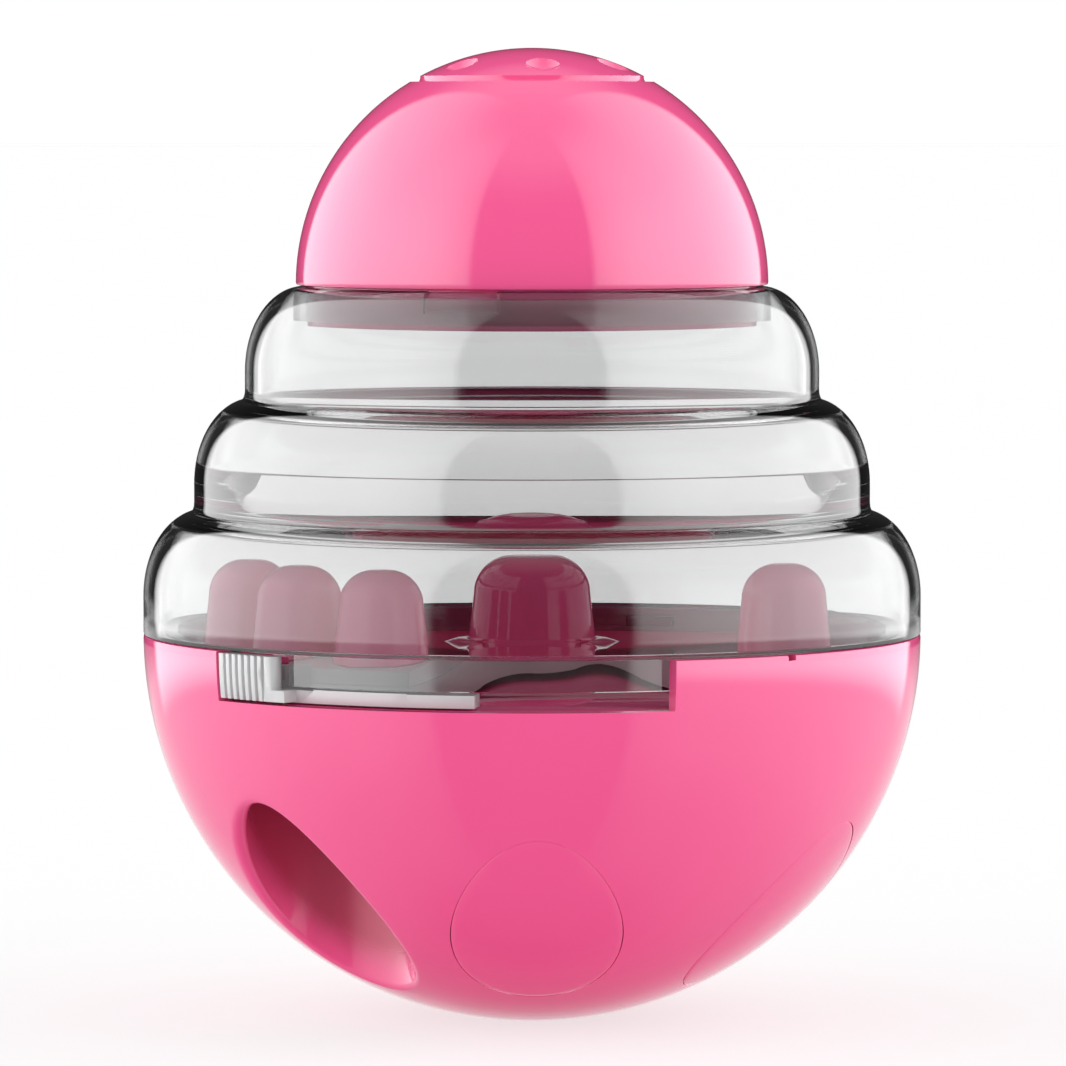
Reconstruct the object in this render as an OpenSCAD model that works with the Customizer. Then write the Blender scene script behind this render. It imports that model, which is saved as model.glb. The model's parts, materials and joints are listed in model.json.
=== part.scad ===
// Treat dispensing ball: a weighted bowl, a stepped clear chamber and a domed filling cap,
// with a turning shutter that opens the outlet in the bowl.
// Heights inside the modules are measured up from the bowl's rim. Azimuths are in degrees
// around the axis: 0 is the front, -Y, and 90 is +X.

/* [Bowl] */
// Outside radius of the bowl and of the widest part of the ball
bowl_r = 50; // [49.5:0.1:51]
// Wall thickness of the round part of the bowl
bowl_wall = 2.2; // [1.9:0.1:2.5]
// Wall thickness of the bowl at its rim
rim_wall = 2.5; // [2.4:0.05:2.7]
// Radius of the small flat that the ball rests on
rest_flat_r = 7; // [5:0.5:8]
// Width of the alignment nick in the rim
nick_w = 1.2; // [0.8:0.1:2]
// Depth of the alignment nick in the rim
nick_h = 0.7; // [0.4:0.1:1]

/* [Rim notch] */
// Depth of the notch that the thumb tab travels in
notch_h = 6.3; // [6:0.1:6.8]
// Azimuth of the notch's left end
notch_from = -51.9; // [-54:0.1:-50]
// Azimuth of the notch's right end
notch_to = 20.7; // [18:0.1:24]

/* [Outlet] */
// Radius of the outlet hole
outlet_r = 10.6; // [10:0.1:11]
// Distance from a plug's outer side to the ball's widest outline, seen from above
plug_edge_inset = 5.4; // [5.2:0.1:5.7]
// Azimuth of the outlet
outlet_az = -48.3; // [-50:0.1:-46]
// Wall of the outlet tube
tube_wall = 1.8; // [1.4:0.1:2]

/* [Plugs] */
// Radius of a flush plug
plug_r = 10.7; // [10.4:0.1:10.9]
// Gap all round a flush plug
plug_gap = 0.1; // [0.06:0.02:0.16]
// Wall of a plug's sleeve
plug_wall = 1.6; // [1.2:0.1:2]
// Height of a plug's sleeve above the highest point of its face
plug_grip = 5; // [4:0.5:5.5]
// Wall of the column round each plug
column_wall = 1.8; // [1.5:0.1:1.9]
// Width of the step that stops a plug
column_step = 1.5; // [1:0.1:2]
// Thickness of the web that a floor screw clamps
web_t = 2; // [1.6:0.1:2.4]

/* [Ballast] */
// Height of the steel weight
weight_h = 11.8; // [8:0.2:12.8]
// Distance from the weight's side to the middle of a ballast screw
weight_margin = 3.2; // [3:0.1:5]
// Distance from the middle of a ballast screw to the cover's edge
ballast_edge = 2.7; // [2.6:0.1:2.9]
// Radius of a ballast screw boss
ballast_boss_r = 2.4; // [2.2:0.1:2.5]
// Gap between the ballast cover and the plug columns
cover_gap = 0.4; // [0.3:0.1:0.6]
// Thickness of the ballast cover
cover_t = 1.6; // [1.2:0.1:2]
// Height of the stiffening rim on the ballast cover
cover_rim_h = 1.5; // [1:0.1:2.5]

/* [Screws] */
// Radius of a screw's shank
screw_r = 1.4; // [1.2:0.1:1.5]
// Radius of a screw's head
screw_head_r = 2.7; // [2.5:0.1:2.9]
// Height of a screw's head
screw_head_h = 1.8; // [1.5:0.1:2]
// Length of a floor or ballast screw's shank
screw_l = 7; // [6:0.5:7.5]
// Length of the hub screw's shank
hub_screw_l = 10; // [9:0.5:11]
// Depth of the cross recess in a screw's head
recess_h = 0.9; // [0.6:0.1:1]
// Length of the cross recess's arms
recess_l = 2.8; // [2.2:0.1:3]
// Width of the cross recess's arms
recess_w = 0.6; // [0.5:0.1:0.8]

/* [Floor plate] */
// Thickness of the floor plate
floor_t = 2.2; // [2:0.1:2.6]
// Length of the bosses under the floor plate
floor_boss_l = 5; // [4.5:0.5:5.5]
// Radius of the bosses under the floor plate
floor_boss_r = 3.2; // [3:0.1:4]
// Radius of the post that the shutter turns on
post_r = 7; // [6.6:0.1:7.2]

/* [Shutter] */
// Thickness of the shutter
shutter_t = 2.4; // [2.2:0.1:2.6]
// Thickness of the shutter's edge flange, which passes under the clear skirt
flange_t = 1.7; // [1.5:0.1:1.8]
// Radius of the shutter's hub disc
shutter_hub_r = 13.7; // [13:0.1:15]
// Height of the raised platforms under the pegs
platform_h = 1.8; // [1.4:0.1:2]
// Distance from a peg to its platform's inner side
platform_margin = 1.1; // [0.6:0.1:2]
// Distance from a platform's outer side to the shutter's edge
platform_inset = 0.5; // [0.3:0.1:1]
// Azimuths where the left wing starts and ends
left_wing_az = [-131, -19];
// Azimuths where the right wing starts and ends
right_wing_az = [45, 102];
// Azimuth where the edge flange in front of the left wing ends
flange_end_az = -8.6; // [-12:0.1:-5]
// Azimuths where the platforms under the pegs start and end
platform_az = [[-83, -19.5], [45.5, 70]];
// Gap between the window's edge and the outlet's edge when open
window_gap = 0.5; // [0.3:0.1:0.8]
// Radius of the corners where the wings meet the hub disc
wing_corner_r = 6; // [4:0.5:7]

/* [Thumb tab] */
// Angle that the thumb tab spans
tab_span = 13.4; // [12:0.1:15]
// Gap between the tab and each end of the notch, in degrees
tab_stop_gap = 0.4; // [0.3:0.1:0.6]
// Gap between the tab's face and the ball's outside
tab_sink = 0.15; // [0.1:0.05:0.3]
// Number of grip grooves on the tab
tab_grooves = 6; // [4:1:7]
// Angle between two grip grooves
groove_pitch_az = 1.35; // [1.2:0.05:1.5]
// Depth of a grip groove
groove_deep = 0.5; // [0.3:0.05:0.6]
// Width of a grip groove
groove_w = 0.55; // [0.4:0.05:0.7]

/* [Pegs and hub cap] */
// Distance from a peg to its platform's outer side
peg_margin = 1.4; // [1:0.1:2]
// Azimuths of the pegs
peg_az = [-70.5, -50, -29.5, 56.5];
// Radius of a peg at its foot
peg_r = 6; // [5.6:0.1:6.2]
// Radius of a peg where its side meets its round top
peg_top_r = 5.2; // [4.8:0.1:5.5]
// Height of a peg
peg_h = 11.8; // [10:0.1:12.5]
// Radius of the round edge on a peg's top
peg_blend = 4.2; // [3:0.1:4.6]
// Wall of a peg
peg_wall = 1.6; // [1.3:0.1:2]
// Radius of the pin that holds a peg
peg_pin_r = 2; // [1.7:0.1:2.3]
// Length of the pin that holds a peg, below the peg's foot
peg_pin_l = 2.6; // [2:0.1:3]
// Radius of the hub cap at its foot
hub_r = 8.2; // [7.8:0.1:8.6]
// Radius of the hub cap where its side meets its round top
hub_top_r = 7.5; // [7.2:0.1:7.8]
// Height of the hub cap above its collar
hub_h = 11.4; // [11:0.1:12]
// Radius of the round edge on the hub cap's top
hub_blend = 4.6; // [4:0.1:5]
// Wall of the hub cap
hub_wall = 1.8; // [1.5:0.1:2]
// Radius of the hub cap's collar
collar_r = 11.8; // [11.2:0.1:12.4]
// Thickness of the hub cap's collar
collar_t = 1.9; // [1.6:0.1:2.2]
// Width of the four slots in the collar
collar_slot_w = 1; // [0.8:0.1:1.4]
// Radius of the boss inside the hub cap
hub_boss_r = 3.2; // [3:0.1:3.6]
// Thickness of the friction washer
washer_t = 0.4; // [0.3:0.05:0.5]
// Radius of the friction washer
washer_r = 10.8; // [10:0.1:11]

/* [Clear shell] */
// Wall thickness of the clear shell at its upright walls
shell_wall = 2; // [1.8:0.1:2.2]
// Thickness of the clear shell at its shoulders
shoulder_t = 2.3; // [2:0.1:2.6]
// Height of the lowest shoulder above the rim
shoulder_z = 15.8; // [15.4:0.1:16.2]
// Height from one shoulder to the next
tier_h = 14.4; // [14.1:0.1:14.7]
// Height of a shoulder's curve
shoulder_h = 10.85; // [10.4:0.05:11.2]
// How far a shoulder's curve runs in under the tier above it
crease_reach = 0.9; // [0.6:0.05:1.2]
// Height of the soft blend above each crease
crease_h = 1.6; // [1.2:0.1:2]
// How much lower the inside of a shoulder peaks than its outside
shoulder_drop = 0.6; // [0.4:0.1:1]
// How far the thick ridge inside the lowest crease stands into the chamber
ridge_t = 1.6; // [1.2:0.1:1.8]
// Length of the bend from a ridge's underside into the shoulder's inside
ridge_bend = 1.5; // [1:0.1:2]
// Thickness of the skirt that hangs inside the bowl
skirt_t = 1.6; // [1.4:0.1:1.8]
// Height of the curved foot inside the clear shell
foot_h = 2.6; // [2.4:0.1:3.4]
// Thickness of the foot where it turns into the skirt
foot_t = 2; // [1.6:0.1:2.2]
// Azimuths where the opening in the skirt starts and ends
skirt_window_az = [-52.5, -39.4];
// Thickness of the neck's sleeve
neck_t = 1.5; // [1.2:0.1:1.8]
// Height of the neck's sleeve
neck_h = 4.6; // [4.4:0.1:5]

/* [Twist lock] */
// Azimuth of the first lug's left side
lug_az = 36; // [34:0.5:38]
// Angle that a lug spans
lug_span = 8; // [7:0.5:9]
// Angle that the clear shell turns to unlock
twist_span = 17; // [15:0.5:18]
// Number of lugs
lug_count = 3; // [3:1:3]
// How far a lug stands out of the skirt
lug_reach = 0.9; // [0.7:0.05:1]
// Height of a lug
lug_h = 1.5; // [1.2:0.1:1.7]
// Depth of a lug's top under the rim
lug_drop = 1.4; // [1.2:0.1:1.5]
// Gap between a lug's ends and its channel, in degrees
lug_gap_az = 0.5; // [0.3:0.1:0.8]

/* [Dome cap] */
// Outside radius of the dome
dome_r = 30.35; // [30:0.05:30.6]
// Wall thickness of the dome
dome_wall = 2; // [1.8:0.1:2.2]
// How far the ring that plugs into the neck is set in from the dome's side
ring_inset = 1.45; // [1.3:0.05:1.7]
// Thickness of the ring
ring_t = 1.8; // [1.5:0.1:2]
// Depth of the ring below the dome
ring_h = 5.4; // [5.2:0.1:5.8]
// Height of the ring's spigot inside the dome
spigot_h = 3; // [2:0.1:3.5]
// Azimuths of the ring's lugs
key_az = [-17, 103, 223];
// Width of a lug on the ring
key_w = 8.8; // [7:0.1:10]
// Height of a lug on the ring
key_h = 2.3; // [2:0.1:2.5]
// How far a lug stands out of the ring
key_reach = 1; // [0.8:0.05:1.1]
// Depth of a lug's top below the dome
key_drop = 0.9; // [0.7:0.1:1]
// Radius of the shallow groove round the top of the dome
groove_ring_r = 15; // [13:0.5:17]
// Radius of that groove's section
groove_ring_t = 0.6; // [0.4:0.05:0.8]
// Number of finger dimples inside the groove
dimple_count = 6; // [3:1:8]
// Distance of the dimples from the axis
dimple_reach = 11.2; // [9:0.1:12]
// Radius of a dimple's edge
dimple_r = 2.3; // [1.5:0.1:2.8]
// Depth of a dimple
dimple_deep = 0.9; // [0.5:0.1:1.2]
// Azimuth of the first dimple
dimple_az = 7; // [0:1:30]

/* [Fits] */
// Radial clearance between a turning piece and its shaft or bore
run_fit = 0.05; // [0.02:0.01:0.09]
// Gap between faces that move past each other
move_gap = 0.3; // [0.25:0.05:0.4]
// Gap between fixed pieces
seat_gap = 0.1; // [0.05:0.05:0.15]

/* [Hidden] */
$fn = 96;

pink = [0.94, 0.34, 0.57];
light_grey = [0.82, 0.83, 0.83];
smoky_clear = [0.75, 0.76, 0.77, 0.4];
steel_grey = [0.55, 0.56, 0.58];

plug_count = 5;
plug_first_az = 1;
plug_pitch_az = 61;
curve_steps = 10;
shoulder_start = 14;
// The inside of a shoulder starts this many degrees after it leaves the ridge's underside
inside_turn = 6;
tier_count = 3;
overrun = bowl_r / 10;

// The rim's height above the resting flat
rim_z = sqrt(pow(bowl_r, 2) - pow(rest_flat_r, 2));
inner_r = bowl_r - bowl_wall;
bore_r = bowl_r - rim_wall;
outlet_reach = bowl_r - plug_edge_inset - plug_r;

floor_top = -notch_h;
floor_bottom = floor_top - floor_t;
web_top = floor_bottom - floor_boss_l;
web_bottom = web_top - web_t;
well_r = plug_r + plug_gap;
column_r = well_r + column_wall;
step_r = well_r - column_step;
plug_edge_z = -sqrt(pow(bowl_r, 2) - pow(outlet_reach + plug_r, 2));
plug_top = plug_edge_z + plug_grip;
hole_r = screw_r + seat_gap;

cover_r = outlet_reach - column_r - cover_gap;
ballast_pitch_r = cover_r - ballast_edge;
weight_r = ballast_pitch_r - weight_margin;
weight_drop = inner_r - weight_h;
cover_bottom = -weight_drop + seat_gap;
ballast_az = [for (i = [0:2]) 31 + 120 * i];

shutter_bottom = floor_top + move_gap;
shutter_top = shutter_bottom + shutter_t;
flange_top = shutter_bottom + flange_t;
platform_top = shutter_top + platform_h;
collar_bottom = shutter_top + move_gap;
collar_top = collar_bottom + collar_t;
skirt_bottom = flange_top + move_gap;
skirt_r = bore_r - seat_gap;
skirt_inner_r = skirt_r - skirt_t;
plate_r = skirt_inner_r - move_gap;
flange_r = bore_r - move_gap;
tab_from = notch_from + tab_stop_gap;
shutter_turn = notch_to - notch_from - tab_span - 2 * tab_stop_gap;
window_r = outlet_r + window_gap;
window_az = outlet_az - shutter_turn;
washer_seat = washer_t - seat_gap;
peg_reach = plate_r - platform_inset - peg_margin - peg_r;
platform_r = peg_reach - peg_r - platform_margin;

// Each tier is set in as far as the next one, and the dome stands where a fourth would
tier_inset = (bowl_r - dome_r) / tier_count;
shoulder_reach = tier_inset + crease_reach;
inside_start = acos((shoulder_h - shoulder_t) / (shoulder_h - shoulder_drop)) + inside_turn;
ring_r = dome_r - ring_inset;
neck_top = shoulder_z + (tier_count - 1) * tier_h;
neck_r = ring_r + move_gap;
sleeve_r = neck_r + neck_t;
dome_bottom = neck_top + 2 * seat_gap;
ring_bottom = dome_bottom - ring_h;
key_top = dome_bottom - key_drop;
dome_inner_r = dome_r - dome_wall;
spigot_r = sqrt(pow(dome_inner_r, 2) - pow(spigot_h, 2)) - seat_gap;

// Moves what is measured from the rim to its height above the resting flat
module at_rim() {
    translate([0, 0, rim_z]) children();
}

// Where a child piece stands: out from the axis along an azimuth
module at_azimuth(az, reach = 0) {
    rotate([0, 0, az - 90]) translate([reach, 0, 0]) children();
}

// A cylinder between two heights
module rod(r, low, high) {
    translate([0, 0, low]) cylinder(r = r, h = high - low);
}

// A ring between two radii and two heights
module band(r_in, r_out, low, high) {
    rotate_extrude() translate([r_in, low]) square([r_out - r_in, high - low]);
}

// The part of such a ring between two azimuths
module arc_band(r_in, r_out, low, high, from, to) {
    rotate([0, 0, from - 90])
        rotate_extrude(angle = to - from)
            translate([r_in, low]) square([r_out - r_in, high - low]);
}

// Half outline of a round-topped peg or cap
function blunt_outline(foot_r, top_r, height, blend) = concat(
    [[0, 0], [foot_r, 0]],
    [for (i = [0:curve_steps]) let (a = 90 * i / curve_steps)
        [top_r - blend + blend * cos(a), height - blend + blend * sin(a)]],
    [[0, height]]);

module blunt(foot_r, top_r, height, blend) {
    rotate_extrude() polygon(blunt_outline(foot_r, top_r, height, blend));
}

// A screw with its head's underside at height 0 and its shank pointing up
module screw(shank_l) {
    difference() {
        union() {
            rod(screw_r, 0, shank_l - screw_r);
            translate([0, 0, shank_l - screw_r]) cylinder(r1 = screw_r, r2 = screw_r / 3, h = screw_r);
            rod(screw_head_r, -screw_head_h, 0);
        }
        for (turn = [0, 90])
            rotate([0, 0, turn])
                translate([-recess_l / 2, -recess_w / 2, -screw_head_h - overrun])
                    cube([recess_l, recess_w, recess_h + overrun]);
    }
}

// The hollow inside the bowl: round below the floor plate's seat, straight from there to the rim
module bowl_hollow() {
    difference() {
        sphere(r = inner_r);
        rod(bowl_r, floor_bottom, bowl_r);
    }
    rod(bore_r, floor_bottom, overrun);
}

module plug_columns(r, low, high) {
    for (i = [0:plug_count - 1])
        at_azimuth(plug_first_az + i * plug_pitch_az, outlet_reach) rod(r, low, high);
}

// Channels in the rim that the twist lock's lugs drop into and turn along
module lug_channels() {
    channel_low = -lug_drop - lug_h - move_gap / 2;
    channel_high = -lug_drop + move_gap / 2;
    channel_r = skirt_r + lug_reach + seat_gap;
    for (i = [0:lug_count - 1]) {
        az = lug_az + i * 360 / lug_count;
        arc_band(inner_r - rim_wall, channel_r, channel_low, channel_high,
                 az - lug_gap_az, az + lug_span + twist_span + lug_gap_az);
        arc_band(inner_r - rim_wall, channel_r + seat_gap, (channel_low + channel_high) / 2, overrun,
                 az + twist_span - lug_gap_az, az + lug_span + twist_span + lug_gap_az / 2);
    }
}

module bowl() {
    color(pink) difference() {
        union() {
            difference() {
                sphere(r = bowl_r);
                bowl_hollow();
            }
            intersection() {
                sphere(r = bowl_r - bowl_wall / 2);
                union() {
                    plug_columns(column_r, -bowl_r, floor_bottom);
                    at_azimuth(outlet_az, outlet_reach)
                        rod(outlet_r + tube_wall, -bowl_r, floor_bottom);
                    for (az = ballast_az)
                        at_azimuth(az, ballast_pitch_r) rod(ballast_boss_r, -bowl_r, -weight_drop);
                }
            }
        }
        rod(bowl_r + overrun, 0, bowl_r + overrun);
        rod(bowl_r, -bowl_r - overrun, -rim_z);
        at_azimuth(outlet_az, outlet_reach) rod(outlet_r, -bowl_r - overrun, 0);
        plug_columns(well_r, -bowl_r - overrun, plug_top + seat_gap);
        plug_columns(step_r, -bowl_r, web_bottom);
        plug_columns(hole_r, -bowl_r, 0);
        plug_columns(step_r, web_top, 0);
        for (az = ballast_az)
            at_azimuth(az, ballast_pitch_r) rod(screw_r + run_fit, cover_bottom - screw_l, 0);
        arc_band(bore_r - rim_wall, bowl_r + overrun, -notch_h, overrun, notch_from, notch_to);
        at_azimuth(lug_az + lug_span / 2)
            translate([0, -nick_w / 2, -nick_h]) cube([bowl_r + overrun, nick_w, nick_h + overrun]);
        lug_channels();
    }
}

module plug(i) {
    color(pink) intersection() {
        sphere(r = bowl_r);
        at_azimuth(plug_first_az + i * plug_pitch_az, outlet_reach)
            rod(plug_r, -bowl_r, plug_top);
        difference() {
            rod(bowl_r, -bowl_r, 0);
            intersection() {
                sphere(r = inner_r);
                at_azimuth(plug_first_az + i * plug_pitch_az, outlet_reach)
                    rod(plug_r - plug_wall, -bowl_r, 0);
            }
        }
    }
}

module ballast_weight() {
    color(steel_grey) intersection() {
        sphere(r = inner_r - seat_gap);
        rod(weight_r, -bowl_r, -weight_drop);
    }
}

module ballast_cover() {
    color(pink) difference() {
        union() {
            rod(cover_r, cover_bottom, cover_bottom + cover_t);
            band(weight_r - rim_wall, weight_r, cover_bottom, cover_bottom + cover_t + cover_rim_h);
        }
        for (az = ballast_az)
            at_azimuth(az, ballast_pitch_r) rod(hole_r, -bowl_r, 0);
    }
}

module ballast_screws() {
    color(steel_grey)
        for (az = ballast_az)
            at_azimuth(az, ballast_pitch_r)
                translate([0, 0, cover_bottom + cover_t]) mirror([0, 0, 1]) screw(screw_l);
}

module floor_plate() {
    color(pink) difference() {
        union() {
            rod(bore_r - seat_gap, floor_bottom, floor_top);
            rod(post_r, floor_bottom, collar_bottom);
            plug_columns(floor_boss_r, web_top, floor_top);
        }
        at_azimuth(outlet_az, outlet_reach) rod(outlet_r, -bowl_r, 0);
        plug_columns(screw_r + run_fit, -bowl_r, web_bottom + screw_l);
        rod(hole_r, -bowl_r, 0);
        rod(screw_head_r + seat_gap, -bowl_r, floor_bottom + screw_head_h);
    }
}

module floor_screws() {
    color(steel_grey)
        for (i = [0:plug_count - 1])
            at_azimuth(plug_first_az + i * plug_pitch_az, outlet_reach)
                translate([0, 0, web_bottom]) screw(screw_l);
}

// The space between two wings, with soft inner corners where the wings meet the hub disc
module wing_space(from, to) {
    centre_r = shutter_hub_r + wing_corner_r - seat_gap;
    span = asin((wing_corner_r - seat_gap) / centre_r);
    arc_band(shutter_hub_r, centre_r, shutter_bottom - overrun, overrun, from + span, to - span);
    arc_band(centre_r * cos(span), bowl_r, shutter_bottom - overrun, overrun, from, to);
    for (az = [from + span, to - span])
        at_azimuth(az, centre_r) rod(wing_corner_r, shutter_bottom - overrun, overrun);
}

// The shutter's disc with the edge flange that passes under the clear skirt
module shutter_disc() {
    difference() {
        rotate_extrude()
            polygon([[0, shutter_bottom], [flange_r, shutter_bottom], [flange_r, flange_top],
                     [plate_r, flange_top], [plate_r, shutter_top], [0, shutter_top]]);
        wing_space(right_wing_az[1], left_wing_az[0] + 360);
        difference() {
            wing_space(left_wing_az[1], right_wing_az[0]);
            arc_band(plate_r - rim_wall, bowl_r + overrun, -bowl_r, flange_top - seat_gap,
                     left_wing_az[1] - tab_span, flange_end_az);
        }
    }
}

module shutter() {
    color(light_grey) difference() {
        union() {
            shutter_disc();
            for (az = platform_az)
                arc_band(platform_r, plate_r - platform_inset, flange_top, platform_top, az[0], az[1]);
            thumb_tab();
        }
        rod(post_r + run_fit, -bowl_r, 0);
        rod(washer_r + seat_gap, shutter_top - washer_seat, 0);
        at_azimuth(window_az, outlet_reach) rod(window_r, -bowl_r, 0);
        for (az = peg_az)
            at_azimuth(az, peg_reach) rod(peg_pin_r + run_fit, platform_top - peg_pin_l - seat_gap, 0);
    }
}

module thumb_tab() {
    face_r = bowl_r - tab_sink;
    tab_r = skirt_r + move_gap;
    tab_bottom = shutter_bottom + seat_gap;
    root_top = flange_top - seat_gap;
    difference() {
        intersection() {
            sphere(r = face_r);
            rotate([0, 0, tab_from - 90])
                rotate_extrude(angle = tab_span)
                    polygon([[plate_r - rim_wall, tab_bottom], [bowl_r, tab_bottom],
                             [bowl_r, -move_gap], [tab_r, -move_gap], [tab_r, root_top],
                             [plate_r - rim_wall, root_top]]);
        }
        for (i = [1:tab_grooves])
            at_azimuth(tab_from + i * groove_pitch_az) difference() {
                translate([0, -groove_w / 2, -bowl_r]) cube([bowl_r, groove_w, bowl_r]);
                sphere(r = face_r - groove_deep);
            }
    }
}

module peg(i) {
    color(pink) at_azimuth(peg_az[i], peg_reach) translate([0, 0, platform_top]) {
        difference() {
            blunt(peg_r, peg_top_r, peg_h, peg_blend);
            blunt(peg_r - peg_wall, peg_top_r - peg_wall, peg_h - peg_wall, peg_blend - peg_wall);
        }
        rod(peg_pin_r, -peg_pin_l, peg_h - peg_wall / 2);
    }
}

module hub_cap() {
    color(pink) difference() {
        union() {
            translate([0, 0, collar_bottom]) difference() {
                blunt(hub_r, hub_top_r, hub_h + collar_t, hub_blend);
                blunt(hub_r - hub_wall, hub_top_r - hub_wall, hub_h + collar_t - hub_wall,
                      hub_blend - hub_wall);
            }
            rod(hub_boss_r, collar_bottom, collar_top + hub_h - hub_wall / 2);
            difference() {
                band(hub_r - hub_wall, collar_r, collar_bottom, collar_top);
                for (turn = [45, 135])
                    rotate([0, 0, turn]) difference() {
                        translate([0, 0, collar_bottom])
                            cube([2 * bowl_r, collar_slot_w, 2 * collar_t + overrun], center = true);
                        rod(hub_r, -bowl_r, bowl_r);
                    }
            }
        }
        rod(screw_r + run_fit, -bowl_r, floor_bottom + screw_head_h + hub_screw_l);
    }
}

module hub_screw() {
    color(steel_grey) translate([0, 0, floor_bottom + screw_head_h]) screw(hub_screw_l);
}

module friction_washer() {
    color(steel_grey)
        band(post_r + run_fit, washer_r, collar_bottom - washer_t, collar_bottom);
}

// Points of one shoulder's curve, from its inner start angle out to the upright wall
function shoulder_curve(r_out, top, reach, height, from) =
    [for (i = [0:curve_steps]) let (a = from + (90 - from) * i / curve_steps)
        [r_out - reach + reach * sin(a), top - height + height * cos(a)]];

// A soft bend from one point to another, drawn towards the corner between them
function soft_bend(p, corner, q) =
    [for (i = [0:4]) let (t = i / 5) (1 - t) * (1 - t) * p + 2 * t * (1 - t) * corner + t * t * q];

// One tier's outside, from its crease down to its upright wall
function tier_outside(k) =
    let (
        r_out = bowl_r - k * tier_inset,
        above_r = r_out - tier_inset,
        top = shoulder_z + k * tier_h,
        curve = shoulder_curve(r_out, top, shoulder_reach, shoulder_h, shoulder_start)
    )
    concat(soft_bend([above_r, curve[0][1] + crease_h], [above_r, curve[0][1]], curve[0]), curve);

// One tier's inside: its underside behind the crease, where the lowest has a sloping ridge, and
// the shoulder
function tier_inside(k) =
    let (
        r_out = bowl_r - k * tier_inset - shell_wall,
        above_r = r_out - tier_inset,
        top = shoulder_z + k * tier_h,
        under = top - shoulder_t,
        curve = shoulder_curve(r_out, top - shoulder_drop, shoulder_reach,
                               shoulder_h - shoulder_drop, inside_start),
        bend_r = curve[0][0] - ridge_bend,
        tip_r = k == 0 ? above_r - ridge_t : above_r
    )
    concat([[tip_r, under]],
           soft_bend([bend_r, under], [(bend_r + curve[0][0]) / 2, under], curve[0]), curve);

// The top tier's side, from the neck or its sleeve down to the upright wall
function top_side(r_start, wall, drop) =
    let (
        r_out = bowl_r - (tier_count - 1) * tier_inset - wall,
        from = asin((r_start - r_out + shoulder_reach) / shoulder_reach)
    )
    shoulder_curve(r_out, neck_top - drop, shoulder_reach, shoulder_h - drop, from);

function reversed(list) = [for (i = [len(list) - 1:-1:0]) list[i]];

module shell_profile() {
    foot_r = bowl_r - shell_wall;
    outside = concat(
        [[neck_r, neck_top]],
        top_side(neck_r + seat_gap, 0, 0),
        tier_outside(1),
        tier_outside(0),
        [[bowl_r, seat_gap], [skirt_r, seat_gap], [skirt_r, skirt_bottom],
         [skirt_inner_r, skirt_bottom]]);
    inside = concat(
        [[neck_r, neck_top - neck_h], [sleeve_r, neck_top - neck_h]],
        top_side(sleeve_r, shell_wall, shoulder_drop),
        tier_inside(1),
        tier_inside(0),
        soft_bend([foot_r, foot_h], [foot_r, foot_t], [skirt_inner_r, foot_t]),
        [[skirt_inner_r, foot_t]]);
    polygon(concat(outside, reversed(inside)));
}

// A lug of the dome's ring, or with clearance the slot that it drops into
module key(az, r, width, low, high) {
    intersection() {
        band(ring_r - ring_t, r, low, high);
        at_azimuth(az) translate([0, -width / 2, low]) cube([bowl_r, width, high - low]);
    }
}

module clear_shell() {
    color(smoky_clear) difference() {
        union() {
            rotate_extrude() shell_profile();
            for (i = [0:lug_count - 1])
                arc_band(skirt_inner_r, skirt_r + lug_reach, -lug_drop - lug_h, -lug_drop,
                         lug_az + i * 360 / lug_count, lug_az + lug_span + i * 360 / lug_count);
        }
        arc_band(skirt_inner_r - rim_wall, bore_r, skirt_bottom - overrun, -seat_gap,
                 skirt_window_az[0], skirt_window_az[1]);
        for (az = key_az)
            key(az, ring_r + key_reach + move_gap, key_w + 2 * move_gap,
                key_top - key_h - move_gap, neck_top + overrun);
    }
}

module dome_ring() {
    color(pink) {
        band(ring_r - ring_t, ring_r, ring_bottom, dome_bottom);
        band(ring_r - ring_t, spigot_r, ring_bottom, dome_bottom + spigot_h);
        for (az = key_az)
            key(az, ring_r + key_reach, key_w, key_top - key_h, key_top);
    }
}

module dome_cap() {
    dimple_ball_r = (pow(dimple_r, 2) + pow(dimple_deep, 2)) / (2 * dimple_deep);
    dimple_tilt = asin(dimple_reach / dome_r);
    groove_tilt = asin(groove_ring_r / dome_r);
    color(pink) translate([0, 0, dome_bottom]) difference() {
        sphere(r = dome_r);
        sphere(r = dome_inner_r);
        rod(dome_r + overrun, -dome_r - overrun, 0);
        rotate_extrude()
            translate([groove_ring_r, dome_r * cos(groove_tilt)]) circle(r = groove_ring_t);
        for (i = [0:dimple_count - 1])
            rotate([0, 0, dimple_az + i * 360 / dimple_count - 90])
                rotate([0, dimple_tilt, 0])
                    translate([0, 0, dome_r - dimple_deep + dimple_ball_r]) sphere(r = dimple_ball_r);
    }
}

at_rim() bowl();
at_rim() plug(0);  // plug_1
at_rim() plug(1);  // plug_2
at_rim() plug(2);  // plug_3
at_rim() plug(3);  // plug_4
at_rim() plug(4);  // plug_5
at_rim() ballast_weight();
at_rim() ballast_cover();
at_rim() ballast_screws();
at_rim() floor_plate();
at_rim() floor_screws();
at_rim() shutter();
at_rim() peg(0);  // peg_1
at_rim() peg(1);  // peg_2
at_rim() peg(2);  // peg_3
at_rim() peg(3);  // peg_4
at_rim() hub_cap();
at_rim() hub_screw();
at_rim() friction_washer();
at_rim() clear_shell();
at_rim() dome_ring();
at_rim() dome_cap();
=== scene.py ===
import json
import math

import bmesh
import bpy
from mathutils import Matrix, Vector


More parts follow.
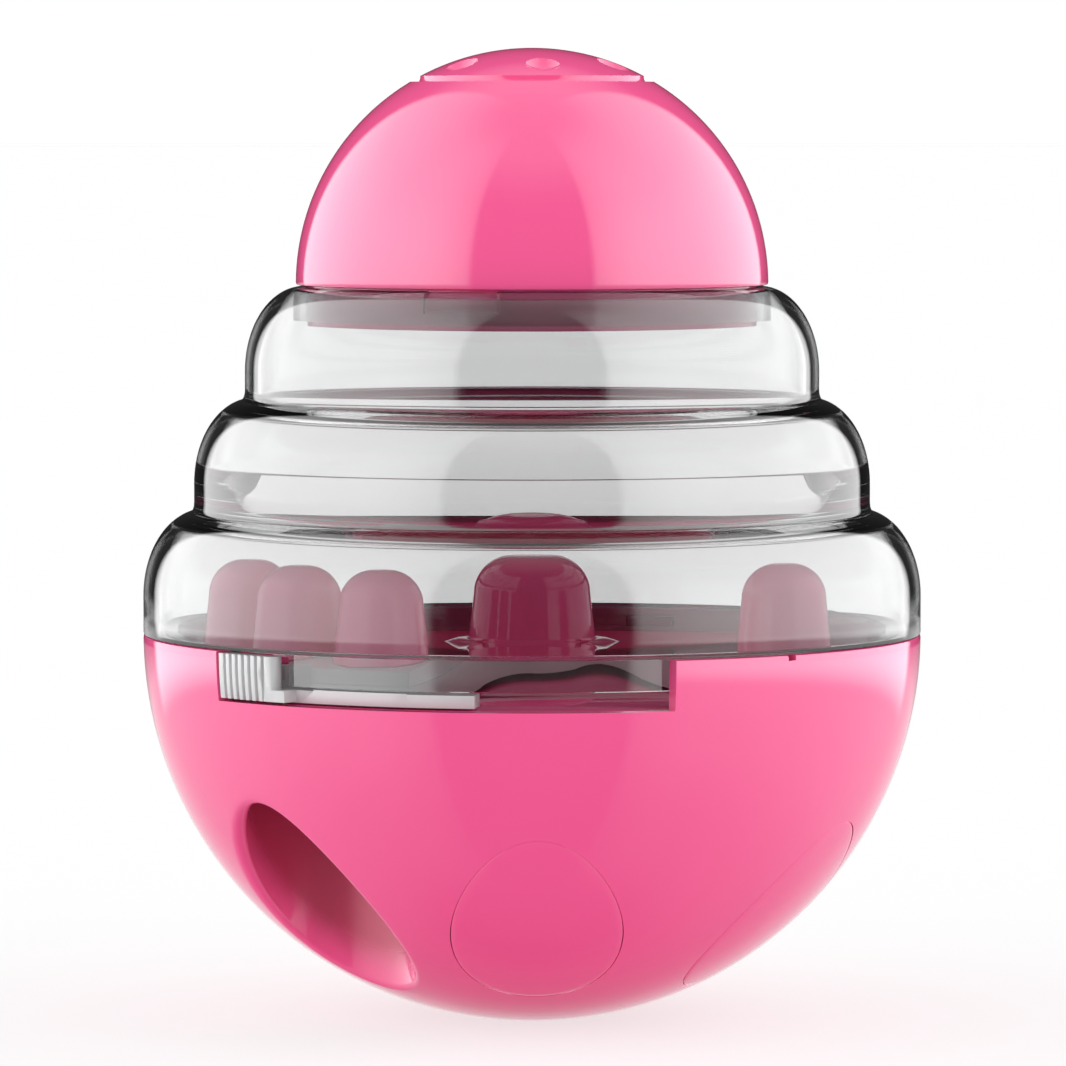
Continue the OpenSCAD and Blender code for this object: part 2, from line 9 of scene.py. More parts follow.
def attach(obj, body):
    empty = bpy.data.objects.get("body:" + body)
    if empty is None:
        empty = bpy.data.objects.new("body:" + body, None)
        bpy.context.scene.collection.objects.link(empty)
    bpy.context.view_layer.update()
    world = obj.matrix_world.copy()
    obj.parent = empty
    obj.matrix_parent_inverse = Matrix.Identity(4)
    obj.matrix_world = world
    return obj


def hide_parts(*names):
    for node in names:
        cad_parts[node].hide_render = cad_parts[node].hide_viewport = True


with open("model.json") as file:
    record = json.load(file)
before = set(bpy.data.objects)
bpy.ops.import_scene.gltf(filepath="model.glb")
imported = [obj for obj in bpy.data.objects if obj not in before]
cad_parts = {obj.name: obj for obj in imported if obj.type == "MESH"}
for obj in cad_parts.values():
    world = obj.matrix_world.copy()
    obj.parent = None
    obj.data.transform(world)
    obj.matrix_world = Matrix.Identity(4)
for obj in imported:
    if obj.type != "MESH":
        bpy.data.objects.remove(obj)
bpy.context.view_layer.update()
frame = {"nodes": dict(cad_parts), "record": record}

print("frame:", len(frame["nodes"]), "nodes")

# Lengths are in millimetres and heights count from the bowl's rim, as in the part's own source.
# A piece is turned into metres, standing on the floor, when it is handed over by settle().
ball = {"radius": 50.0, "wall": 2.2, "rimWall": 2.5, "restFlat": 7.0, "steps": 224,
        "holeReach": 33.9, "outlet": 10.6, "outletAt": -48.3, "plugsAt": (1, 62, 123, 184, 245),
        "lugsAt": (36, 156, 276), "notch": (-51.9, 20.7), "notchDeep": 6.3}
mending = {"merge": 0.0005, "sliver": 0.0002, "sharp": 32}
innerRadius = ball["radius"] - ball["wall"]
boreRadius = ball["radius"] - ball["rimWall"]
rimHeight = math.sqrt(ball["radius"] ** 2 - ball["restFlat"] ** 2)
toMetres = Matrix.Scale(0.001, 4) @ Matrix.Translation((0, 0, rimHeight))


# mesh helpers

def turned(azimuth, reach):      # azimuth 0 is the front, -Y, and 90 is +X
    angle = math.radians(azimuth - 90)
    return Vector((reach * math.cos(angle), reach * math.sin(angle), 0))


def turnAbout(azimuth):
    return Matrix.Rotation(math.radians(azimuth - 90), 3, "Z")


def arc(centre, radius, fromAngle, toAngle, count):
    step = (toAngle - fromAngle) / count
    angles = [math.radians(fromAngle + step * i) for i in range(count + 1)]
    return [(centre[0] + radius * math.cos(a), centre[1] + radius * math.sin(a)) for a in angles]


def spun(outline, steps=ball["steps"], centre=(0, 0, 0), span=None):
    # a whole turn closes on itself, and a span of two azimuths makes a capped wedge
    bm = bmesh.new()
    verts = [bm.verts.new((r, 0, h)) for r, h in outline]
    if span:
        geom = [bm.faces.new(verts)]
        angle = math.radians(span[1] - span[0])
        bmesh.ops.rotate(bm, verts=verts, matrix=turnAbout(span[0]))
        geom += list(bm.edges) + list(bm.verts)
    else:
        pairs = zip(verts, verts[1:] + verts[:1])
        geom = verts + [bm.edges.new(pair) for pair in pairs if pair[0].co.x + pair[1].co.x > 0.001]
        angle = 2 * math.pi
    bmesh.ops.spin(bm, geom=geom, axis=(0, 0, 1), cent=(0, 0, 0), angle=angle, steps=steps,
                   use_merge=not span)
    bmesh.ops.remove_doubles(bm, verts=bm.verts, dist=mending["merge"])
    bmesh.ops.dissolve_degenerate(bm, edges=bm.edges, dist=mending["sliver"])
    bmesh.ops.recalc_face_normals(bm, faces=bm.faces)
    bmesh.ops.translate(bm, verts=bm.verts, vec=centre)
    return bm


def piece(bm, name="tool"):
    mesh = bpy.data.meshes.new(name)
    bm.to_mesh(mesh)
    bm.free()
    made = bpy.data.objects.new(name, mesh)
    bpy.context.scene.collection.objects.link(made)
    return made


def together(tools):
    bm = bmesh.new()
    for tool in tools:
        bm.from_mesh(tool.data)
        bpy.data.objects.remove(tool)
    return piece(bm)


def carve(body, tools, operation="DIFFERENCE"):
    for tool in tools:
        change = body.modifiers.new("carve", "BOOLEAN")
        change.operation, change.object, change.solver = operation, tool, "EXACT"
    bpy.context.view_layer.update()
    shaped = bpy.data.meshes.new_from_object(body.evaluated_get(bpy.context.evaluated_depsgraph_get()))
    old, body.data = body.data, shaped
    body.modifiers.clear()
    bpy.data.meshes.remove(old)
    for tool in tools:
        bpy.data.objects.remove(tool)
    return body


def rod(radius, low, high, at=(0, 0, 0), steps=96):
    return piece(spun([(0, low), (radius, low), (radius, high), (0, high)], steps, at))


def wedge(inner, outer, low, high, span, steps=12):
    return piece(spun([(inner, low), (outer, low), (outer, high), (inner, high)], steps, span=span))


def block(lengths, at, azimuth):
    bm = bmesh.new()
    bmesh.ops.create_cube(bm, size=1.0)
    bmesh.ops.scale(bm, verts=bm.verts, vec=lengths)
    bmesh.ops.translate(bm, verts=bm.verts, vec=at)
    bmesh.ops.rotate(bm, verts=bm.verts, matrix=turnAbout(azimuth))
    return piece(bm)


def settle(made, name, bodyName, nodes, material, sharp=mending["sharp"]):
    made.name = made.data.name = name
    made.data.transform(toMetres)
    made.data.shade_smooth()
    made.data.set_sharp_from_angle(angle=math.radians(sharp))
    made.data.materials.clear()
    made.data.materials.append(material)
    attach(made, bodyName)
    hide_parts(*nodes)
    print("piece:", name, len(made.data.polygons), "faces")


# materials

class Wire:      # a socket, so that masks are written as sums and products
    def __init__(self, tree, socket=None):
        self.tree, self.socket = tree, socket

    def add(self, kind, settings=None, values=None, out=0):
        node = self.tree.nodes.new(kind)
        for name, value in (settings or {}).items():
            if name == "stops":
                for spare in list(node.color_ramp.elements)[1:]:
                    node.color_ramp.elements.remove(spare)
                for i, (place, level) in enumerate(value):
                    stop = node.color_ramp.elements[0] if i == 0 else node.color_ramp.elements.new(place)
                    stop.position = place
                    stop.color = (level, level, level, 1)
            else:
                setattr(node, name, value)
        for key, value in (values or {}).items():
            if isinstance(value, Wire):
                self.tree.links.new(value.socket, node.inputs[key])
            else:
                node.inputs[key].default_value = value
        return Wire(self.tree, node.outputs[out] if node.outputs else None)

    def math(self, operation, *terms):
        return self.add("ShaderNodeMath", {"operation": operation}, dict(enumerate(terms)))

    def outputs(self, *names):      # other outputs of the node that this socket belongs to
        return [Wire(self.tree, self.socket.node.outputs[name]) for name in names]

    def __add__(self, other):
        return self.math("ADD", self, other)

    def __radd__(self, other):
        return self.math("ADD", other, self)

    def __sub__(self, other):
        return self.math("SUBTRACT", self, other)

    def __rsub__(self, other):
        return self.math("SUBTRACT", other, self)

    def __mul__(self, other):
        return self.math("MULTIPLY", self, other)

    def __rmul__(self, other):
        return self.math("MULTIPLY", other, self)

    def __truediv__(self, other):
        return self.math("DIVIDE", self, other)


def newMaterial(name):
    material = bpy.data.materials.new(name)
    material.use_nodes = True
    material.node_tree.nodes.clear()
    return material, Wire(material.node_tree)


def closed(material, shader, volume=None):
    ends = {"Surface": shader, "Volume": volume} if volume else {"Surface": shader}
    shader.add("ShaderNodeOutputMaterial", None, ends)
    return material


def noise(wire, spot, scale, detail=2.0, rough=0.5):
    return wire.add("ShaderNodeTexNoise", None,
                    {"Vector": spot, "Scale": scale, "Detail": detail, "Roughness": rough})


def mixed(wire, share, colour, other):      # colours are three numbers, or a wire
    colour, other = (c if isinstance(c, Wire) else c + (1,) for c in (colour, other))
    return wire.add("ShaderNodeMix", {"data_type": "RGBA"}, {0: share, 6: colour, 7: other}, out=2)


def distance(wire, spot, place):
    return wire.add("ShaderNodeVectorMath", {"operation": "DISTANCE"}, {0: spot, 1: place}, out=1)


def rippled(wire, look, height):
    return wire.add("ShaderNodeBump", None,
                    {"Strength": look["bump"], "Distance": look["bumpDeep"], "Height": height})


def mouldedPlastic(name, look):
    # moulded plastic: faint flow clouds in the colour, handling haze and fine hair scratches in the gloss,
    # and the slight ripple that a mould leaves
    material, wire = newMaterial(name)
    spot = wire.add("ShaderNodeTexCoord", out=3)
    clouds = noise(wire, spot, look["cloudScale"], 3.0)
    colour = mixed(wire, clouds, look["colour"], look["cloudColour"])
    haze = noise(wire, spot, look["hazeScale"], 4.0, 0.6)
    stretched = wire.add("ShaderNodeMapping", None,
                         {"Vector": spot, "Rotation": look["hairTurn"], "Scale": look["hairStretch"]})
    hairs = noise(wire, stretched, look["hairScale"], 2.0)
    hairs = wire.add("ShaderNodeMapRange", None, {0: hairs, 1: look["hairFrom"], 2: look["hairFull"]})
    rough = look["roughness"] + haze * look["haze"] + hairs * look["hairs"]
    if "soil" in look:
        # painted shade: the colour darkens deep inside the outlet, away from the ball's outside, where the
        # bore lies in shade, and the plastic there is also rougher
        away = distance(wire, spot, (0, 0, 0.001 * rimHeight))
        level = wire.add("ShaderNodeVectorMath", {"operation": "MULTIPLY"}, {0: spot, 1: (1, 1, 0)})
        off = distance(wire, level, turned(ball["outletAt"], 0.001 * ball["holeReach"]))
        deep = wire.add("ShaderNodeMapRange", {"interpolation_type": "SMOOTHSTEP"},
                        {0: away + haze * look["soilBlur"], 1: look["soilStart"], 2: look["soilFull"]})
        inBore = wire.add("ShaderNodeMapRange", None, {0: off, 1: look["soilWide"], 2: look["soilNarrow"]})
        # painted shade: this mask marks where the colour is darkened inside the bore
        soiled = deep * inBore
        colour = mixed(wire, soiled, colour, look["soil"])
        rough = rough + soiled * look["soilRough"]
    ripple = noise(wire, spot, look["rippleScale"], 1.0)
    grain = noise(wire, spot, look["grainScale"], 2.0)
    normal = rippled(wire, look, ripple * look["ripple"] + grain * look["grain"])
    shader = wire.add("ShaderNodeBsdfPrincipled", None,
                      {"Base Color": colour, "Roughness": rough, "Normal": normal, "IOR": look["ior"]})
    return closed(material, shader)


def clearPlastic(name, look):
    # clear to the eye, and a plain tinted pane to shadows and soft light, so that the inside is lit
    material, wire = newMaterial(name)
    spot = wire.add("ShaderNodeTexCoord", out=3)
    haze = noise(wire, spot, look["hazeScale"], 4.0, 0.6)
    normal = rippled(wire, look, noise(wire, spot, look["rippleScale"], 1.0))
    glass = wire.add("ShaderNodeBsdfPrincipled", None, {
        "Base Color": look["colour"] + (1,), "Roughness": haze * look["haze"], "Normal": normal,
        "IOR": look["ior"], "Transmission Weight": 1.0, "Specular IOR Level": look["gloss"]})
    pane = wire.add("ShaderNodeBsdfTransparent", None, {"Color": look["pane"] + (1,)})
    shadow, diffuse = wire.add("ShaderNodeLightPath").outputs("Is Shadow Ray", "Is Diffuse Ray")
    soft = wire.math("MAXIMUM", shadow, diffuse)
    blend = wire.add("ShaderNodeMixShader", None, {0: soft, 1: glass, 2: pane})
    smoke = wire.add("ShaderNodeVolumeAbsorption", None,
                     {"Color": look["smoke"] + (1,), "Density": look["density"]})
    return closed(material, blend, smoke)


def brushedSteel(name, look):
    material, wire = newMaterial(name)
    spot = wire.add("ShaderNodeTexCoord", out=3)
    stretched = wire.add("ShaderNodeMapping", None, {"Vector": spot, "Scale": look["lineStretch"]})
    lines = noise(wire, stretched, look["lineScale"], 3.0)
    stain = noise(wire, spot, look["stainScale"], 3.0)
    shader = wire.add("ShaderNodeBsdfPrincipled", None, {
        "Base Color": mixed(wire, stain, look["colour"], look["stainColour"]), "Metallic": 1.0,
        "Roughness": look["roughness"] + lines * look["haze"], "Normal": rippled(wire, look, lines)})
    return closed(material, shader)


hairLook = {"hairTurn": (0.4, 0.9, 0.3), "hairStretch": (1, 14, 1), "hairFrom": 0.66, "hairFull": 0.8}
pinkLook = hairLook | {
    "colour": (0.92, 0.106, 0.296), "cloudColour": (0.95, 0.118, 0.322), "cloudScale": 40.0,
    "hazeScale": 90.0, "haze": 0.05, "hairScale": 160.0, "hairs": 0.05, "roughness": 0.05,
    "rippleScale": 60.0, "ripple": 0.25, "grainScale": 2600.0, "grain": 0.02, "bump": 0.12,
    "bumpDeep": 0.0004, "ior": 1.5}
greyLook = hairLook | {
    "colour": (0.60, 0.61, 0.615), "cloudColour": (0.64, 0.645, 0.65), "cloudScale": 60.0,
    "hazeScale": 120.0, "haze": 0.08, "hairScale": 200.0, "hairs": 0.08, "roughness": 0.3,
    "rippleScale": 90.0, "ripple": 0.2, "grainScale": 3000.0, "grain": 0.08, "bump": 0.15,
    "bumpDeep": 0.0004, "ior": 1.5}
# painted shade: a darker colour inside the outlet's bore stands in for the shade there
boreShadeLook = pinkLook | {      # distances in metres: from the ball's middle, and from the bore's axis
    "soil": (0.5, 0.042, 0.11), "soilStart": 0.0502, "soilFull": 0.0458, "soilBlur": 0.002,
    "soilWide": 0.0125, "soilNarrow": 0.0112, "soilRough": 0.25}
clearLook = {
    "colour": (0.88, 0.883, 0.886), "pane": (0.6, 0.6, 0.6), "smoke": (0.3, 0.305, 0.31), "density": 60.0,
    "ior": 1.49, "gloss": 0.38, "haze": 0.02, "hazeScale": 110.0, "rippleScale": 50.0, "bump": 0.02,
    "bumpDeep": 0.0004}
steelLook = {
    "colour": (0.62, 0.62, 0.63), "stainColour": (0.5, 0.5, 0.52), "stainScale": 90.0,
    "lineScale": 400.0, "lineStretch": (1, 1, 30), "roughness": 0.25, "haze": 0.15, "bump": 0.2,
    "bumpDeep": 0.0002}
pink = mouldedPlastic("pinkPlastic", pinkLook)
soiledPink = mouldedPlastic("soiledPinkPlastic", boreShadeLook)
grey = mouldedPlastic("greyPlastic", greyLook)
clear = clearPlastic("clearPlastic", clearLook)
steel = brushedSteel("steel", steelLook)
finishes = {"pink_plastic": pink, "grey_plastic": grey, "clear_plastic": clear, "steel": steel}
slotOf = {part["node"]: part["material_slot"] for part in frame["record"]["subparts"]}
for nodeName, node in frame["nodes"].items():
    node.data.materials.clear()
    node.data.materials.append(finishes[slotOf[nodeName]])
print("materials:", len(finishes) + 1)


# camera, light and floor

# the camera was found by laying the part's outlines over the photograph, 1066 pixels wide
lens = {"distance": 900.0, "height": 66.0, "aim": 12.5, "focalPixels": 7001.0, "widePixels": 1066.0,
        "sensor": 36.0, "shiftX": 0.0009, "shiftY": 0.0023, "near": 0.01, "far": 100.0}
cameraData = bpy.data.cameras.new("camera")
camera = bpy.data.objects.new("camera", cameraData)
bpy.context.scene.collection.objects.link(camera)
cameraData.sensor_fit, cameraData.sensor_width = "HORIZONTAL", lens["sensor"]
cameraData.lens = lens["sensor"] * lens["focalPixels"] / lens["widePixels"]
cameraData.shift_x, cameraData.shift_y = lens["shiftX"], lens["shiftY"]
cameraData.clip_start, cameraData.clip_end = lens["near"], lens["far"]
eye = toMetres @ Vector((0, -lens["distance"], lens["height"]))
target = toMetres @ Vector((0, 0, lens["aim"]))
camera.matrix_world = Matrix.Translation(eye) @ (target - eye).to_track_quat("-Z", "Y").to_matrix().to_4x4()
bpy.context.scene.camera = camera

# Two tall softboxes stand at the left and right, with a gap between them in front, and the studio
# behind is dark in the gloss, which therefore ends before the outline. Around runs from 0 in front to
# 1 behind, upward from 0 below to 1 above, and card is the pale card behind the clear wall.
studio = {"softbox": 5.3, "bounce": 0.2, "fill": 0.7, "under": 0.05, "overhead": 1.2, "dim": 0.03,
          "card": 0.95, "inside": 0.45, "underThrough": 0.6, "most": 0.98,
          "around": [(0.0, 0), (0.160, 0), (0.178, 0.5), (0.235, 0.75), (0.28, 0.88), (0.34, 0.98),
                     (0.44, 1), (0.56, 0.97), (0.62, 0.9), (0.70, 0.75), (0.79, 0.55), (0.815, 0.5),
                     (0.835, 0)],
          "upward": [(0.0, 0), (0.44, 0), (0.451, 0.4), (0.467, 0.86), (0.478, 0.9), (0.481, 1.0),
                     (0.583, 1.0), (0.64, 0.95), (0.694, 0.85), (0.75, 0.7), (0.806, 0.5),
                     (0.861, 0.28), (0.917, 0.08), (0.95, 0)],
          "glowAround": [(0.0, 0), (0.16, 0), (0.178, 0.5), (0.28, 0.9), (0.44, 1), (0.56, 1),
                         (0.7, 0.75), (0.8, 0.55), (1.0, 0.5)],
          "glowUpward": [(0.0, 0), (0.083, 0), (0.14, 0.06), (0.195, 0.1), (0.25, 0.13), (0.31, 0.2),
                         (0.34, 0.25), (0.422, 0.33), (0.46, 0.34), (0.48, 0)],
          "underUpward": [(0.40, 1), (0.45, 0)],
          "topUpward": [(0.72, 0), (0.86, 1)],
          "cardAround": [(0.90, 0), (0.93, 1)],
          "cardUpward": [(0.36, 0), (0.40, 1), (0.52, 1), (0.56, 0)]}
world = bpy.data.worlds.new("studio")
bpy.context.scene.world = world
world.use_nodes = True
world.node_tree.nodes.clear()
sky = Wire(world.node_tree)
heading = sky.add("ShaderNodeTexCoord")
east, north, up = sky.add("ShaderNodeSeparateXYZ", None, {0: heading}).outputs(0, 1, 2)
around = sky.math("ARCTAN2", sky.math("ABSOLUTE", east), 0 - north) / math.pi
upward = sky.math("ARCSINE", up) / math.pi + 0.5


def ramped(name, value):
    return sky.add("ShaderNodeValToRGB", {"stops": studio[name]}, {0: value})


boxes = ramped("around", around) * ramped("upward", upward) * studio["softbox"]
glow = ramped("glowAround", around) * ramped("glowUpward", upward) * studio["softbox"]
card = ramped("cardAround", around) * ramped("cardUpward", upward) * studio["card"]
above = sky.math("GREATER_THAN", up, 0.0)
seen, glossy, through = sky.add("ShaderNodeLightPath").outputs(
    "Is Camera Ray", "Is Glossy Ray", "Is Transmission Ray")
soft = boxes * above * studio["bounce"] + studio["fill"] + (1 - above) * studio["under"]
gloss = boxes + glow + ramped("topUpward", upward) * studio["overhead"] + studio["dim"]
strength = soft + (gloss - soft) * glossy
# what shows through the clear wall stays under white, also where a softbox is behind it
pale = ramped("underUpward", upward) * studio["underThrough"]
beyond = (boxes + glow * (1 - card)) * studio["inside"] + pale * (1 - card) + card + studio["dim"]
beyond = sky.math("MINIMUM", beyond, studio["most"])
strength = strength + (beyond - strength) * through
strength = strength + (1 - strength) * seen
background = sky.add("ShaderNodeBackground", None, {"Color": (1, 1, 1, 1), "Strength": strength})
sky.add("ShaderNodeOutputWorld", None, {"Surface": background})

# the floor keeps a faint shadow and otherwise melts into the studio: each share is how far it is gone
# to that kind of ray
floorLook = {"paint": (0.97, 0.97, 0.97), "roughness": 0.6, "cloud": 0.1, "cloudScale": 8.0, "gone": 0.45,
             "goneTo": {"Is Camera Ray": 0.7, "Is Glossy Ray": 1.0, "Is Transmission Ray": 0.8},
             "halfMetres": 30.0}
floorMaterial, wire = newMaterial("paleFloor")
rays = wire.add("ShaderNodeLightPath")
clouds = noise(wire, wire.add("ShaderNodeTexCoord", out=3), floorLook["cloudScale"])
paint = wire.add("ShaderNodeBsdfPrincipled", None, {
    "Base Color": floorLook["paint"] + (1,),
    "Roughness": floorLook["roughness"] + clouds * floorLook["cloud"]})
clean = wire.add("ShaderNodeBsdfTransparent", None, {"Color": (1, 1, 1, 1)})
gone = floorLook["gone"]
for ray, share in floorLook["goneTo"].items():
    gone = wire.math("MAXIMUM", gone, rays.outputs(ray)[0] * share)
closed(floorMaterial, wire.add("ShaderNodeMixShader", None, {0: gone, 1: paint, 2: clean}))
bm = bmesh.new()
bmesh.ops.create_grid(bm, x_segments=1, y_segments=1, size=floorLook["halfMetres"])
floor = piece(bm, "floor")
floor.data.materials.append(floorMaterial)
bpy.context.scene.view_settings.view_transform = "Standard"
print("camera, light and floor ready")


# bowl

def bowlPiece():
    size = {"seat": -8.5, "edge": 0.25, "rimAngle": -0.4, "rimBreak": (0.07, 0.1), "core": 48.9,
            "columnLow": -48.5, "column": 12.6, "tube": 12.4, "well": 10.8, "wellTop": -18.3, "step": 9.3,
            "webLow": -15.5, "webHigh": -13.5, "screw": 1.5, "lip": 1.0, "lipSteps": 7, "lipSunk": 0.01,
            "boreSteps": 144, "boreTop": -5.0, "flare": 4.0, "deep": -62.0, "channelOut": 48.4,
            "channelLow": -3.05, "channelHigh": -1.25, "channelRun": (-0.5, 25.5), "entryOut": 48.5,
            "entryLow": -2.15, "entryRun": (16.5, 25.25), "nickFrom": 46.0, "nickLow": -0.7,
            "nick": (39.3, 40.7), "cutFrom": 44.0, "cutTo": 53.0, "cutTop": 5.0, "cutLow": -60.0}
    radius, edge = ball["radius"], size["edge"]
    flatAngle = math.degrees(math.asin(ball["restFlat"] / radius))
    outside = arc((0, 0), radius, flatAngle - 90, size["rimAngle"], 96)
    seatAngle = math.degrees(math.asin(size["seat"] / innerRadius))
    inside = arc((0, 0), innerRadius, seatAngle, -90, 60)
    rim = [(radius - size["rimBreak"][0], -size["rimBreak"][1]), (radius - edge, 0), (boreRadius + edge, 0),
           (boreRadius, -edge), (boreRadius, size["seat"])]
    bowl = piece(spun([(0, -rimHeight)] + outside + rim + inside[:-1] + [(0, -innerRadius)]))

    columns = [rod(size["column"], size["columnLow"], size["seat"], turned(azimuth, ball["holeReach"]))
               for azimuth in ball["plugsAt"]]
    columns.append(rod(size["tube"], size["columnLow"], size["seat"],
                       turned(ball["outletAt"], ball["holeReach"])))
    core = arc((0, 0), size["core"], -89, 89, 60)
    core = piece(spun([(0, -size["core"])] + core + [(0, size["core"])], 128))
    carve(columns[0], columns[1:], "UNION")
    carve(columns[0], [core], "INTERSECT")
    carve(bowl, [columns[0]], "UNION")

    well = [(0, size["cutLow"]), (size["well"], size["cutLow"]), (size["well"], size["wellTop"]),
            (size["step"], size["wellTop"]), (size["step"], size["webLow"]), (size["screw"], size["webLow"]),
            (size["screw"], size["webHigh"]), (size["step"], size["webHigh"]),
            (size["step"], size["cutTop"]), (0, size["cutTop"])]
    cuts = [piece(spun(well, 96, turned(azimuth, ball["holeReach"]))) for azimuth in ball["plugsAt"]]
    cuts.append(outletCutter(size))
    cuts.append(wedge(size["cutFrom"], size["cutTo"], -ball["notchDeep"], size["cutTop"], ball["notch"], 60))
    cuts.append(wedge(size["nickFrom"], size["cutTo"], size["nickLow"], size["cutTop"], size["nick"], 1))
    channels = []
    for azimuth in ball["lugsAt"]:
        channelRun = [azimuth + end for end in size["channelRun"]]
        entryRun = [azimuth + end for end in size["entryRun"]]
        channels.append(wedge(size["cutFrom"], size["channelOut"], size["channelLow"], size["channelHigh"],
                              channelRun))
        cuts.append(wedge(size["cutFrom"], size["entryOut"], size["entryLow"], size["cutTop"], entryRun, 8))
    return carve(bowl, [together(cuts), together(channels)])


def outletCutter(size):
    # the bore's cutter flares into a rolled lip, whose tangent points follow the ball round the hole
    centre = turned(ball["outletAt"], ball["holeReach"])
    bore, lip, steps, count = ball["outlet"], size["lip"], size["lipSteps"], size["boreSteps"]
    levels = [("wall", size["boreTop"]), ("wall", None)] + [("lip", k / steps) for k in range(steps + 1)]
    levels += [("out", None), ("out", size["deep"])]
    bm = bmesh.new()
    rings = []
    for kind, level in levels:
        ring = bmesh.ops.create_circle(bm, segments=count, radius=bore)["verts"]
        for i, vert in enumerate(ring):
            turn = 2 * math.pi * i / count
            out = Vector((math.cos(turn), math.sin(turn), 0))
            # the ball cut by the upright plane through the bore's axis: a circle, offset from that axis
            offset = centre.dot(out)
            radius = math.sqrt(ball["radius"] ** 2 - centre.length_squared + offset ** 2) - size["lipSunk"]
            middle = Vector((bore + lip + offset, 0))
            middle.y = -math.sqrt((radius - lip) ** 2 - middle.x ** 2)
            if kind == "wall":
                reach, height = bore, middle.y if level is None else level
            elif kind == "lip":
                stop = math.atan2(middle.y, middle.x) % (2 * math.pi)
                angle = math.pi + (stop - math.pi) * level
                reach, height = middle.x - offset + lip * math.cos(angle), middle.y + lip * math.sin(angle)
            else:
                along = Vector((-middle.y, middle.x)).normalized() * size["flare"]
                touch = middle * (radius / (radius - lip)) + along
                reach, height = touch.x - offset, touch.y if level is None else level
            vert.co = centre + out * reach + Vector((0, 0, height))
        rings.append(ring)
    for upper, lower in zip(rings, rings[1:]):
        edges = [edge for ring in (upper, lower) for edge in {e for v in ring for e in v.link_edges}
                 if edge.verts[0] in ring and edge.verts[1] in ring]
        bmesh.ops.bridge_loops(bm, edges=edges)
    for ring in (rings[0], rings[-1]):
        bmesh.ops.contextual_create(bm, geom=ring)
    bmesh.ops.remove_doubles(bm, verts=bm.verts, dist=mending["merge"])
    bmesh.ops.recalc_face_normals(bm, faces=bm.faces)
    return piece(bm)


# the bowl's pink carries painted shade inside the outlet's bore
settle(bowlPiece(), "bowlShell", "bowl_body", ["bowl"], soiledPink)


# plugs

def plugPiece(azimuth):
    size = {"radius": 10.7, "inner": 9.1, "top": -18.38, "edge": 0.12, "faceSteps": 14, "roofSteps": 6}
    centre = turned(azimuth, ball["holeReach"])
    radius, inner, edge, steps = size["radius"], size["inner"], size["edge"], size["faceSteps"]
    # each ring has its radius, the surface that it lies on and its lift from there
    rings = [(radius * k / steps, "face", 0) for k in range(steps)]
    rings += [(radius - edge, "face", 0), (radius - edge * 0.3, "face", edge * 0.3), (radius, "face", edge)]
    rings += [(radius, "top", 0), (inner, "top", 0)]
    rings += [(inner * k / size["roofSteps"], "roof", 0) for k in range(size["roofSteps"], -1, -1)]
    bm = spun([(ring[0], -i) for i, ring in enumerate(rings)], 96)
    for vert in bm.verts:
        surface, lift = rings[round(-vert.co.z)][1:]
        reach = (vert.co.xy + centre.xy).length
        if surface == "top":
            vert.co.z = size["top"]
        else:
            around = ball["radius"] if surface == "face" else innerRadius
            vert.co.z = lift - math.sqrt(around ** 2 - reach ** 2)
    bmesh.ops.translate(bm, verts=bm.verts, vec=centre)
    bmesh.ops.recalc_face_normals(bm, faces=bm.faces)
    return piece(bm)


for i, azimuth in enumerate(ball["plugsAt"], 1):
    settle(plugPiece(azimuth), "plugCap%d" % i, "bowl_body", ["plug_%d" % i], pink)


# clear chamber wall

def shoulder(outer, top, reach, height, fromAngle, count=22):
    angles = [math.radians(fromAngle + (90 - fromAngle) * i / count) for i in range(count + 1)]
    return [(outer - reach + reach * math.sin(a), top - height + height * math.cos(a)) for a in angles]


def softBend(start, corner, stop, count=8):
    shares = [i / count for i in range(count)]
    return [tuple((1 - t) ** 2 * start[k] + 2 * t * (1 - t) * corner[k] + t * t * stop[k] for k in (0, 1))
            for t in shares]


